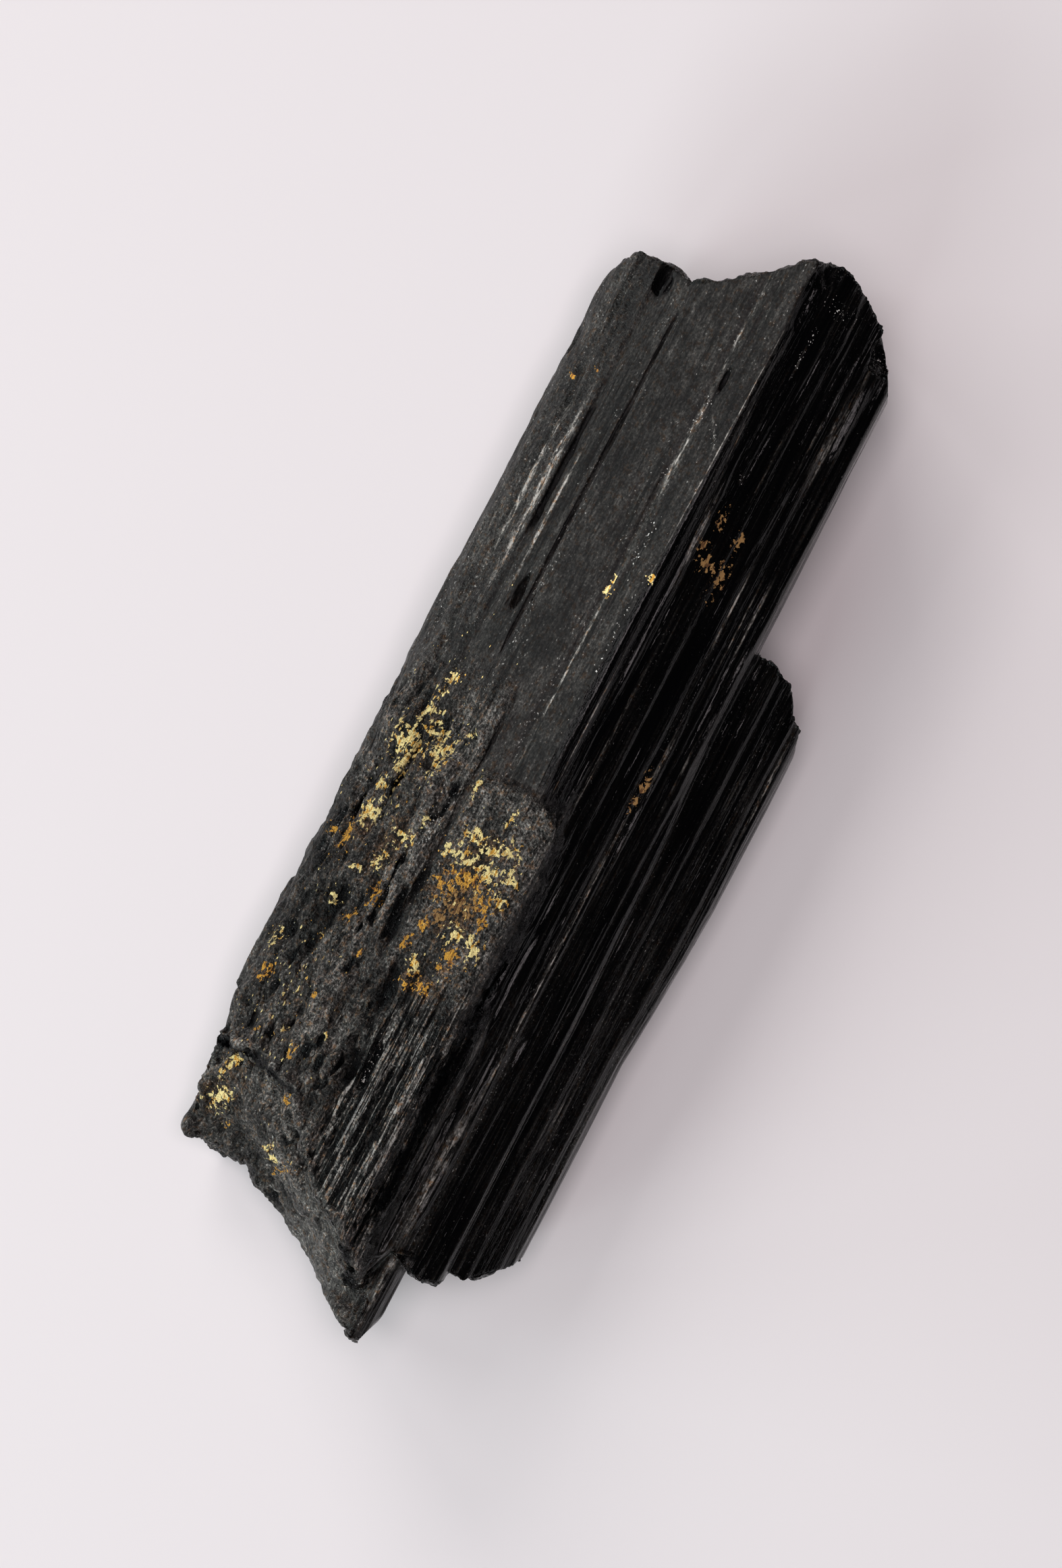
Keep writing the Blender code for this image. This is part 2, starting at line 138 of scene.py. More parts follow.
def placeLights():
    turn = math.radians(viewValues["turn"])
    for name, (around, up, width, height, watts, colour) in lightValues["softboxes"].items():
        azimuth = math.radians(around) + turn
        elevation = math.radians(up)
        level = math.cos(elevation)
        direction = Vector((math.cos(azimuth) * level, math.sin(azimuth) * level, math.sin(elevation)))
        place = direction * lightValues["distance"]
        data = bpy.data.lights.new(name, "AREA")
        data.shape = "RECTANGLE"
        data.size = width
        data.size_y = height
        data.energy = watts
        data.color = linearColour(colour)[:3]
        light = bpy.data.objects.new(name, data)
        light.location = place
        light.rotation_euler = (-place).to_track_quat("-Z", "Y").to_euler()
        bpy.context.scene.collection.objects.link(light)
    world = bpy.data.worlds.new("dimRoom")
    world.use_nodes = True
    background = world.node_tree.nodes["Background"]
    background.inputs["Color"].default_value = linearColour(lightValues["roomColour"])
    background.inputs["Strength"].default_value = lightValues["room"]
    bpy.context.scene.world = world
    bpy.context.scene.view_settings.view_transform = "Standard"


floorValues = {"size": 3.0, "card": "#ebe6e8", "roughness": 0.9, "specularLevel": 0.2}


def makeFloor():
    # matte card: even, pale and without gloss
    card = bpy.data.materials.new("matteCard")
    card.use_nodes = True
    shader = card.node_tree.nodes["Principled BSDF"]
    shader.inputs["Base Color"].default_value = linearColour(floorValues["card"])
    shader.inputs["Roughness"].default_value = floorValues["roughness"]
    shader.inputs["Specular IOR Level"].default_value = floorValues["specularLevel"]
    mesh = bmesh.new()
    half = floorValues["size"] / 2.0
    corners = [mesh.verts.new((x * half, y * half, 0.0)) for x, y in ((-1, -1), (1, -1), (1, 1), (-1, 1))]
    mesh.faces.new(corners)
    data = bpy.data.meshes.new("paleFloor")
    mesh.to_mesh(data)
    mesh.free()
    data.materials.append(card)
    floor = bpy.data.objects.new("paleFloor", data)
    bpy.context.scene.collection.objects.link(floor)


placeCamera()
placeLights()
makeFloor()
print("camera, lights and floor are in place")


# ---- the rods: the solid's own mesh, remeshed finely enough to carry relief

rodValues = {
    "node": "tourmaline_crystal",
    "weld": 1e-6,                       # metres; corners this close are one
    "cell": 0.000105,                   # metres across the rods
    # cells are longer along the rods by these factors, at these places (mm along)
    "cellLength": [
        (-46.0, 2.0), (-18.0, 2.2), (4.0, 2.6), (12.0, 4.5), (34.0, 4.5), (38.0, 2.2), (46.0, 2.0),
    ],
    "tableReach": 60.0,                 # mm that the table of cell lengths goes up and down
    "tableStep": 0.1,                   # mm
    "triangles": 196000,                # left once the relief is in
    "taperPerMm": 1.0 / 408.0,          # the log narrows upwards by this share for each mm
    "taperLevel": 12.0,                 # mm up, where places are taken as they are
}


def readVectors(mesh, name):
    values = np.empty(len(mesh.vertices) * 3)
    mesh.vertices.foreach_get(name, values)
    return values.reshape(-1, 3)


def bakeModifiers(obj):
    # the evaluated result becomes the object's own plain mesh
    graph = bpy.context.evaluated_depsgraph_get()
    result = bpy.data.meshes.new_from_object(obj.evaluated_get(graph), depsgraph=graph)
    obj.modifiers.clear()
    obj.data = result


def squeezedLength():
    # a table from y to the squeezed y, so that even cells come out long where the rods are plain
    reach = rodValues["tableReach"]
    ys = np.linspace(-reach, reach, round(2.0 * reach / rodValues["tableStep"]) + 1)
    places, factors = zip(*rodValues["cellLength"])
    steps = rodValues["tableStep"] / np.interp(ys, places, factors)
    return ys / mmPerMetre, (np.cumsum(steps) - np.sum(steps) / 2.0) / mmPerMetre


def remeshRods():
    source = frame["nodes"][rodValues["node"]]
    mesh = bmesh.new()
    mesh.from_mesh(source.data)
    bmesh.ops.remove_doubles(mesh, verts=mesh.verts[:], dist=rodValues["weld"])
    data = bpy.data.meshes.new("crystalRods")
    mesh.to_mesh(data)
    mesh.free()
    crystal = bpy.data.objects.new("crystalRods", data)
    bpy.context.scene.collection.objects.link(crystal)
    plainY, squeezedY = squeezedLength()
    points = readVectors(data, "co")
    points[:, 1] = np.interp(points[:, 1], plainY, squeezedY)
    data.vertices.foreach_set("co", points.ravel())
    remesh = crystal.modifiers.new("evenCells", "REMESH")
    remesh.mode = "VOXEL"
    remesh.voxel_size = rodValues["cell"]
    remesh.use_smooth_shade = True
    bakeModifiers(crystal)
    points = readVectors(crystal.data, "co")
    points[:, 1] = np.interp(points[:, 1], squeezedY, plainY)
    crystal.data.vertices.foreach_set("co", points.ravel())
    crystal.data.update()
    return crystal


crystal = remeshRods()
print("rods remeshed:", len(crystal.data.polygons), "faces")


# ---- where the surface is dusty, rough or broken; x, y in mm from the rods' middle line

surfaceValues = {
    # border between the dusty faces and the glossy ones, as (y, x) from the square end down
    "crestLine": [
        (45, 0.7), (42, 1.3), (38, 1.3), (34, 1.2), (26, 1.0), (18, 0.8), (14, 0.6), (8, 0.5), (2, 0.45),
        (0, 0.8), (-0.7, 1.2), (-2.0, 3.0), (-2.8, 3.4), (-5.6, 3.4), (-6.0, 3.8), (-10, 3.9), (-17, 3.8),
        (-32, 4.0), (-37, 5.2), (-40, 6.4),
    ],
    "crestJitterEnds": 0.5,             # y below which the border is uneven
    # the slanting break starts at this line, as (x, y)
    "slantLine": [
        (-14, -27.2), (-8.5, -27.2), (-5, -28.4), (-2, -31.8), (-0.2, -34.4), (2, -35.2), (3.8, -36.8),
        (6.1, -39.1), (6.6, -42.0),
    ],
    "slantEnds": 6.6,                   # x of its right end
    "crestEdgeEnds": 8.0,               # x up to which the crest has a rough edge
    # uneven borders, as (pattern size, amount), in mm
    "crestJitter": [(0.9, 0.35), (0.35, 0.25)],
    "slantJitter": [(2.2, 0.5), (0.6, 0.3)],
    # grooves that are cut into the mesh and painted dark as shade, as (x, y, half width, half length, lean
    # across for each mm along)
    "darkLines": [
        (-4.0, -5.5, 0.3, 9, 0), (-8.8, 22, 0.25, 5, 0), (-6.5, 23, 0.16, 15, 0), (-8.5, 37.4, 0.6, 1.2, 0),
        (-2.4, -17.5, 0.5, 3.5, 0), (-1.0, -24, 0.28, 8, 0), (0.6, -27, 0.3, 8, 0), (1.4, -23, 0.22, 8, 0),
        (3.6, -26, 0.4, 9, 0), (4.5, -24, 0.35, 11, 0), (-3.2, -26, 0.4, 3, 0), (-1.1, 33.2, 0.15, 1.0, 0),
        (1.4, 41, 0.5, 2.4, 0), (-7.3, 12.2, 0.5, 1.6, 0), (6.1, -30, 0.25, 7, 0), (-5.2, -20, 0.5, 3.0, 0),
        (-7.8, -22, 0.45, 2.5, 0), (-6.0, -10, 0.3, 3.5, 0), (-9.9, -15.5, 0.4, 2.0, 0),
        (-10.4, -4.5, 0.3, 2.0, 0), (-5.5, 3.5, 0.3, 3.0, 0), (-8.4, -28, 0.5, 1.2, 0.5),
    ],
    # ridges standing between the grooves, in the same way
    "ridges": [
        (-1.6, -25, 0.35, 4, 0), (2.3, -26.5, 0.4, 7, 0), (3.0, -27.5, 0.25, 6, 0), (0.1, -22, 0.3, 6, 0),
        (5.3, -24, 0.45, 8, 0), (-4.4, -24, 0.6, 3.5, 0), (-6.6, -18, 0.5, 4, 0), (-9.0, -24, 0.6, 3, 0),
        (-2.6, -28, 0.5, 3, 0), (-9.4, -7, 0.5, 5, 0), (-7.4, -5, 0.5, 4, 0), (-5.0, -13, 0.45, 5, 0),
    ],
    # brownish film around the stains, in the same way
    "halos": [
        (-0.8, -9.3, 2.6, 4.8, 0), (-0.3, -15.5, 2.0, 2.8, 0), (-8.6, -1.0, 1.6, 2.6, 0),
        (-10.0, -9.0, 1.4, 2.2, 0), (-7.2, -9.0, 1.0, 3.0, 0), (4.6, 20.5, 1.4, 3.5, 0),
        (-9.8, -31.0, 1.6, 1.8, 0),
    ],
    # the lines of these three tables fade out between two radii, shifted by a pattern, and another pattern
    # interrupts them
    "lineEdge": (0.6, 1.3), "lineEdgeJitter": 0.3,
    "lineGaps": (-0.25, 0.15), "lineGapSize": 1.6, "lineGapStretch": (1.0, 0.4),
    "grooveDepth": 0.00038, "ridgeHeight": 0.00022,    # metres
    "rimDepth": 0.0010,                 # metres that the slanting break lies under the rim above it
    # where fine grooves are cut and painted dark as shade, as (x from, x to, y from, y to, amount)
    "grooved": [
        (-9.5, -6.0, 5, 38, 0.6), (-12.5, -6.5, -28, 6, 0.5), (-4.8, -3.6, -16, 6, 0.9),
        (-3.0, -0.6, 0, 43, 0.55), (-3.0, 4.5, -36, -15, 1.0), (4.5, 7.5, -36, -4, 0.5),
        (2.0, 10, 4, 42, 0.4),
    ],
    "groovedSoft": (0.3, 1.5),          # mm that those borders fade over, across and along
    # zones: two limits are where a zone starts and where it is full; three values are a band's two borders
    # and how soft they are
    "zones": {
        # by the normal: its part upwards, and its part along the rods
        "facingUp": (-0.1, 0.25), "gentle": (0.2, 0.5), "notUnder": (-0.8, -0.2), "endFace": (0.55, 0.8),
        # mm below the start of the slanting break
        "slant": (-0.3, 0.3), "rim": (-0.4, -0.02, 0.12), "underRim": (0.0, 0.9, 0.12),
        "footBelow": (2.9, 3.6), "dustBand": (1.0, 5.0, 0.3), "smootherBand": (0.8, 1.6),
        "raggedBelow": (-0.6, -0.2), "sinkStart": (0.0, 0.5), "sinkEnd": (1.6, 3.2),
        # mm past the crest
        "crestEdge": (-0.5, 0.7, 0.25), "glossySide": (-0.3, 0.3), "nextToCrest": (0.3, 6.0, 0.4),
        # mm across
        "footAcross": (-14.0, -4.6, 0.4), "lowLeftAcross": (-5.0, -3.2), "lowEndAcross": (-3.0, 0.0),
        "leftSide": (-10.5, -8.0), "leftFace": (-7.0, -6.2), "leftOutline": (-12.6, -11.2),
        "slabAcross": (-3.7, 3.5, 0.3), "raggedAcross": (-2.0, 5.2, 0.6), "smudgeAcross": (11.5, 15.4, 0.5),
        "filmAcross": (5.4, 8.4, 0.4), "tipAcross": (6.2, 8.6, 0.2),
        # mm along, towards the square end
        "crestEdgeAlong": (-4.0, -1.0), "lowLeftAlong": (1.0, 8.0), "lowEndAlong": (-19.0, -15.0),
        "slabAlong": (-17.5, -0.8, 0.8), "raggedAlong": (-20.0, -15.0), "smudgeAlong": (-31.0, -2.0, 3.0),
        "filmAlong": (-24.0, -12.0), "tipAlong": (-36.0, -34.5), "squareEnd": (6.0, 12.0),
    },
    # how much the zones count: least is a mark's lowest share, less is the part that a zone takes away, and
    # the others multiply a zone
    "shares": {
        "lineLeast": 0.25, "dustReachLeast": 0.35, "striaeLeast": 0.25, "groovedLeast": 0.25,
        "outlineLeast": 0.45, "openLeast": 0.12,
        "footShade": 0.45, "rimHighlight": 1.5, "bandDust": 0.8,
        "endFaceLess": 0.6, "smootherLess": 0.65, "crestEdgeBroken": 0.45, "leftSideLumpy": 0.35,
        "raggedLess": 0.85, "steepStriae": 1.2, "raggedStriae": 2.6, "brokenStriaeLess": 0.85,
        "slabStriaeLess": 0.6,
        "tipSheenFilm": 1.6, "smudgeFilm": 0.45, "leftFaceDarker": 0.22, "glossyDarker": 0.35,
        "brokenLumpyLess": 0.5, "raggedGrain": 0.5, "brokenGroovedLess": 0.7,
    },
}


def smoothStep(low, high, value):
    share = np.clip((value - low) / (high - low), 0.0, 1.0)
    return share * share * (3.0 - 2.0 * share)


def between(value, low, high, soft):
    return smoothStep(low - soft, low + soft, value) * (1.0 - smoothStep(high - soft, high + soft, value))


def past(zone, value):
    return smoothStep(*surfaceValues["zones"][zone], value)


def before(zone, value):
    return 1.0 - past(zone, value)


def within(zone, value):
    return between(value, *surfaceValues["zones"][zone])


def atLeast(name, share):
    # the share lifted, so that it starts from the least one
    least = surfaceValues["shares"][name]
    return least + (1.0 - least) * share


def less(name, share):
    # what is left where the share takes its part away
    return 1.0 - surfaceValues["shares"][name] * share


def lineAt(pairs, value):
    ordered = sorted(pairs)
    return np.interp(value, [p[0] for p in ordered], [p[1] for p in ordered])


def jitter(places, size):
    # even noise between -1 and 1 at each place
    return np.array([noise.noise((x / size, y / size, 0.0)) for x, y in places])


def rodPlaces(points):
    # mm across and along, with the taper taken out
    up = points[:, 2] * mmPerMetre
    share = 1.0 - rodValues["taperPerMm"] * (up - rodValues["taperLevel"])
    middle = viewValues["rodsAt"]
    return [(points[:, axis] - middle[axis]) * mmPerMetre / share for axis in (0, 1)]


def nearLine(places, bumps, table):
    # 1 on the lines of the table and 0 away from them, with uneven edges
    share = np.zeros(len(places))
    for x, y, halfWidth, halfLength, lean in table:
        u = (places[:, 0] - x - lean * (places[:, 1] - y)) / halfWidth
        v = (places[:, 1] - y) / halfLength
        far = np.sqrt(u * u + v * v) + surfaceValues["lineEdgeJitter"] * bumps
        share = np.maximum(share, 1.0 - smoothStep(*surfaceValues["lineEdge"], far))
    gaps = jitter(places * surfaceValues["lineGapStretch"], surfaceValues["lineGapSize"])
    return share * atLeast("lineLeast", smoothStep(*surfaceValues["lineGaps"], gaps))


def markSurface(mesh):
    shares = surfaceValues["shares"]
    across, along = rodPlaces(readVectors(mesh, "co"))
    normals = readVectors(mesh, "normal")
    upward = normals[:, 2]
    facingUp = past("facingUp", upward)
    places = np.stack([across, along], 1)
    # where the crest and the slanting break run, with uneven edges
    (size, amount), (fineSize, fineAmount) = surfaceValues["crestJitter"]
    pastCrest = across - lineAt(surfaceValues["crestLine"], along)
    bumps = jitter(places, size)
    uneven = amount * bumps + fineAmount * jitter(places, fineSize)
    pastCrest += uneven * (along < surfaceValues["crestJitterEnds"])
    below = lineAt(surfaceValues["slantLine"], across) - along
    for size, amount in surfaceValues["slantJitter"]:
        below = below + amount * jitter(places, size)
    onSlant = across < surfaceValues["slantEnds"]
    belowSlant = past("slant", below) * onSlant
    # shade is painted right under the rim and on the low foot, a highlight is painted on the rim, and dust
    # lies thick on the slanting band
    shadedFoot = within("footAcross", across) * past("footBelow", below)
    underRim = np.maximum(within("underRim", below), shares["footShade"] * shadedFoot) * onSlant
    rim = within("rim", below) * onSlant
    bandDust = np.maximum(shares["rimHighlight"] * rim, shares["bandDust"] * within("dustBand", below) * onSlant)
    # rough breaks
    broken = np.maximum(past("endFace", np.abs(normals[:, 1])) * less("endFaceLess", belowSlant),
                        belowSlant * less("smootherLess", past("smootherBand", below)))
    crestEdge = within("crestEdge", pastCrest) * before("crestEdgeAlong", along)
    crestEdge = crestEdge * (across < surfaceValues["crestEdgeEnds"])
    broken = np.maximum(broken, shares["crestEdgeBroken"] * crestEdge)
    # lumps and blocks of the low left
    lumpy = before("lowLeftAcross", across) * before("lowLeftAlong", along)
    lumpy = np.maximum(lumpy, before("lowEndAcross", across) * before("lowEndAlong", along))
    lumpy = np.maximum(lumpy, shares["leftSideLumpy"] * before("leftSide", across))
    # the stained slab, and the ragged striae between it and the slanting break
    slab = within("slabAcross", across) * within("slabAlong", along) * facingUp
    ragged = within("raggedAcross", across) * before("raggedAlong", along) * facingUp
    ragged *= less("raggedLess", past("raggedBelow", below))
    # striae and fine grooves
    striae = np.maximum(atLeast("striaeLeast", past("glossySide", pastCrest)),
                        shares["steepStriae"] * before("gentle", upward))
    striae = striae * less("brokenStriaeLess", broken)
    striae = np.maximum(striae, shares["raggedStriae"] * ragged * (1.0 - broken))
    striae = striae * less("slabStriaeLess", slab)
    grooved = np.full(len(across), shares["groovedLeast"])
    softAcross, softAlong = surfaceValues["groovedSoft"]
    for left, right, down, up, amount in surfaceValues["grooved"]:
        zone = between(across, left, right, softAcross) * between(along, down, up, softAlong)
        grooved = np.maximum(grooved, amount * zone)
    # thin films on the right side, and a film on the tip that paints its sheen
    smudge = within("smudgeAcross", across) * within("smudgeAlong", along)
    film = within("filmAcross", across) * before("filmAlong", along)
    film = np.maximum(film, shares["tipSheenFilm"] * within("tipAcross", across) * before("tipAlong", along))
    # the square end is darker: on its left face, and past the crest, where the light striae are fainter
    cleaner = past("squareEnd", along) * (shares["leftFaceDarker"] * before("leftFace", across)
                                          + shares["glossyDarker"] * within("nextToCrest", pastCrest))
    grooves = nearLine(places, bumps, surfaceValues["darkLines"]) * facingUp
    ridges = nearLine(places, bumps, surfaceValues["ridges"]) * facingUp * (1.0 - belowSlant)
    halo = nearLine(places, bumps, surfaceValues["halos"])
    # the grooves, the ridges and the step under the rim go into the mesh right away
    rimSink = past("sinkStart", below) * before("sinkEnd", below) * onSlant * facingUp
    ridgeHeight = surfaceValues["ridgeHeight"]
    height = (ridgeHeight * ridges * (1.0 - grooves) - surfaceValues["grooveDepth"] * grooves
              - surfaceValues["rimDepth"] * rimSink + ridgeHeight * rim * facingUp)
    mesh.vertices.foreach_set("co", (readVectors(mesh, "co") + normals * height[:, None]).ravel())
    mesh.update()
    lumpy *= atLeast("outlineLeast", past("leftOutline", across))
    marks = {
        "across": across, "along": along, "pastCrest": pastCrest,
        "facingUp": facingUp, "dustReach": atLeast("dustReachLeast", facingUp),
        "broken": broken, "lumpy": lumpy * less("brokenLumpyLess", broken),
        "slab": slab, "ragged": ragged, "grooved": grooved * less("brokenGroovedLess", broken),
        "film": film + shares["smudgeFilm"] * smudge, "underRim": underRim, "groove": grooves,
        "halo": halo, "cleaner": cleaner, "bandDust": bandDust,
    }
    # what the relief follows; it is lower on the underside
    openShare = atLeast("openLeast", past("notUnder", upward))
    followed = {"grainy": np.maximum(slab, shares["raggedGrain"] * ragged), "striae": striae}
    followed.update((name, marks[name]) for name in ("broken", "lumpy", "grooved"))
    for name, values in followed.items():
        marks[name + "Relief"] = values * openShare
    for name, values in marks.items():
        mesh.attributes.new(name, "FLOAT", "POINT").data.foreach_set("value", values.astype(np.float32))


markSurface(crystal.data)
print("surface marked")


# ---- relief that runs with the rods, and the roughness of the breaks

reliefValues = {
    # layers: pattern size (metres), stretch along the rods, depth (metres), mark that it follows, octaves
    # and kind
    "layers": {
        "ribs": (0.0012, 36.0, 0.00008, "striae", 1.0, "steps"),
        "lines": (0.0006, 60.0, 0.00004, "striae", 2.0, "steps"),
        "grooves": (0.00075, 16.0, 0.00022, "grooved", 2.0, "cuts"),
        "blocks": (0.0030, 2.4, 0.00150, "lumpy", 2.0, "steps"),
        "ledges": (0.0024, 1.2, 0.00050, "broken", 2.0, "steps"),
        "lumps": (0.0017, 1.9, 0.00100, "lumpy", 5.0, "noise"),
        "grain": (0.0007, 1.0, 0.00034, "grainy", 4.0, "noise"),
        "breaks": (0.0015, 1.0, 0.00062, "broken", 5.0, "noise"),
        "chips": (0.0009, 2.2, 0.00028, "lumpy", 0.0, "cells"),
        "splinters": (0.0008, 1.0, 0.00020, "broken", 0.0, "cells"),
    },
    "inputs": ("size", "stretch", "depth"),    # each layer's values that the modifier can change
    "wide": ("blocks", "ledges"),       # too wide to paint shade into their deep places
    "seed": 4.0,
    "seedStep": 3.7,                    # from one layer to the next
    "roughness": 0.6,                   # of the noise
    "flats": 8.0,                       # flats that the steps make of a pattern
    "slope": (0.3, 0.7),                # part of each step that slopes
    "cuts": (0.43, 0.35, 0.0, -1.0),    # cut where the pattern is below the first value, full at the second
}


def layerPattern(tree, kind, place, seed, scale, octaves):
    # one layer's pattern, between -1 and 1
    placed = {"Vector": place, "W": seed, "Scale": scale}
    if kind == "cells":                 # creased borders, like small fractures
        pattern = addNode(tree, "ShaderNodeTexVoronoi", placed, voronoi_dimensions="4D", feature="F1")
    else:
        pattern = addNode(tree, "ShaderNodeTexNoise",
                          {**placed, "Detail": octaves, "Roughness": reliefValues["roughness"]},
                          noise_dimensions="4D", normalize=True)
    if kind == "steps":                 # flats with short slopes between them
        many = maths(tree, "MULTIPLY", pattern, reliefValues["flats"])
        part = maths(tree, "FRACT", many)
        slope = mapRange(tree, part, reliefValues["slope"], interpolation_type="SMOOTHSTEP")
        stepped = maths(tree, "ADD", maths(tree, "FLOOR", many), slope)
        pattern = maths(tree, "DIVIDE", stepped, reliefValues["flats"])
    if kind == "cuts":                  # only ever below the surface
        return mapRange(tree, pattern, reliefValues["cuts"])
    return maths(tree, "MULTIPLY_ADD", pattern, 2.0, -1.0)


def reliefTree():
    tree = bpy.data.node_groups.new("rodRelief", "GeometryNodeTree")
    face = tree.interface
    face.new_socket("Geometry", in_out="INPUT", socket_type="NodeSocketGeometry")
    for layer in reliefValues["layers"]:
        for part in reliefValues["inputs"]:
            face.new_socket(layer + " " + part, in_out="INPUT", socket_type="NodeSocketFloat")
    face.new_socket("seed", in_out="INPUT", socket_type="NodeSocketFloat")
    face.new_socket("material", in_out="INPUT", socket_type="NodeSocketMaterial")
    face.new_socket("Geometry", in_out="OUTPUT", socket_type="NodeSocketGeometry")
    given = tree.nodes.new("NodeGroupInput").outputs
    position = addNode(tree, "GeometryNodeInputPosition")
    apart = tree.nodes.new("ShaderNodeSeparateXYZ")
    tree.links.new(position, apart.inputs[0])
    heights = {}
    for number, (layer, values) in enumerate(reliefValues["layers"].items()):
        mark, octaves, kind = values[3:]
        shortY = maths(tree, "DIVIDE", apart.outputs["Y"], given[layer + " stretch"])
        place = addNode(tree, "ShaderNodeCombineXYZ",
                        {"X": apart.outputs["X"], "Y": shortY, "Z": apart.outputs["Z"]})
        scale = maths(tree, "DIVIDE", 1.0, given[layer + " size"])
        seed = maths(tree, "ADD", given["seed"], reliefValues["seedStep"] * number)
        pattern = layerPattern(tree, kind, place, seed, scale, octaves)
        deep = maths(tree, "MULTIPLY", pattern, given[layer + " depth"])
        follow = addNode(tree, "GeometryNodeInputNamedAttribute", {"Name": mark + "Relief"},
                         data_type="FLOAT")
        heights[layer] = maths(tree, "MULTIPLY", deep, follow)
    height = joined(tree, "ADD", list(heights.values()))
    # the height in mm is kept for the material, which paints shade into the deep places
    small = joined(tree, "ADD", [heights[layer] for layer in heights if layer not in reliefValues["wide"]])
    inMm = maths(tree, "MULTIPLY", small, mmPerMetre)
    kept = addNode(tree, "GeometryNodeStoreNamedAttribute",
                   {"Geometry": given["Geometry"], "Name": "relief", "Value": inMm},
                   data_type="FLOAT", domain="POINT")
    normal = addNode(tree, "GeometryNodeInputNormal")
    offset = addNode(tree, "ShaderNodeVectorMath", {0: normal, "Scale": height}, operation="SCALE")
    moved = addNode(tree, "GeometryNodeSetPosition", {"Geometry": kept, "Offset": offset})
    real = addNode(tree, "GeometryNodeRealizeInstances", {"Geometry": moved})
    done = addNode(tree, "GeometryNodeSetMaterial", {"Geometry": real, "Material": given["material"]})
    addNode(tree, "NodeGroupOutput", {"Geometry": done})
    return tree


def addRelief(obj, material):
    tree = reliefTree()
    relief = obj.modifiers.new("rodRelief", "NODES")
    relief.node_group = tree
    for item in tree.interface.items_tree:
        if item.in_out == "OUTPUT" or item.name == "Geometry":
            continue
        if item.name == "material":
            relief[item.identifier] = material
        elif item.name == "seed":
            relief[item.identifier] = reliefValues["seed"]
        else:
            layer, part = item.name.split(" ")
            relief[item.identifier] = reliefValues["layers"][layer][reliefValues["inputs"].index(part)]
    thin = obj.modifiers.new("fewerTriangles", "DECIMATE")
    thin.ratio = rodValues["triangles"] / (2.0 * len(obj.data.polygons))
    bakeModifiers(obj)


# ---- schorl, the black iron tourmaline

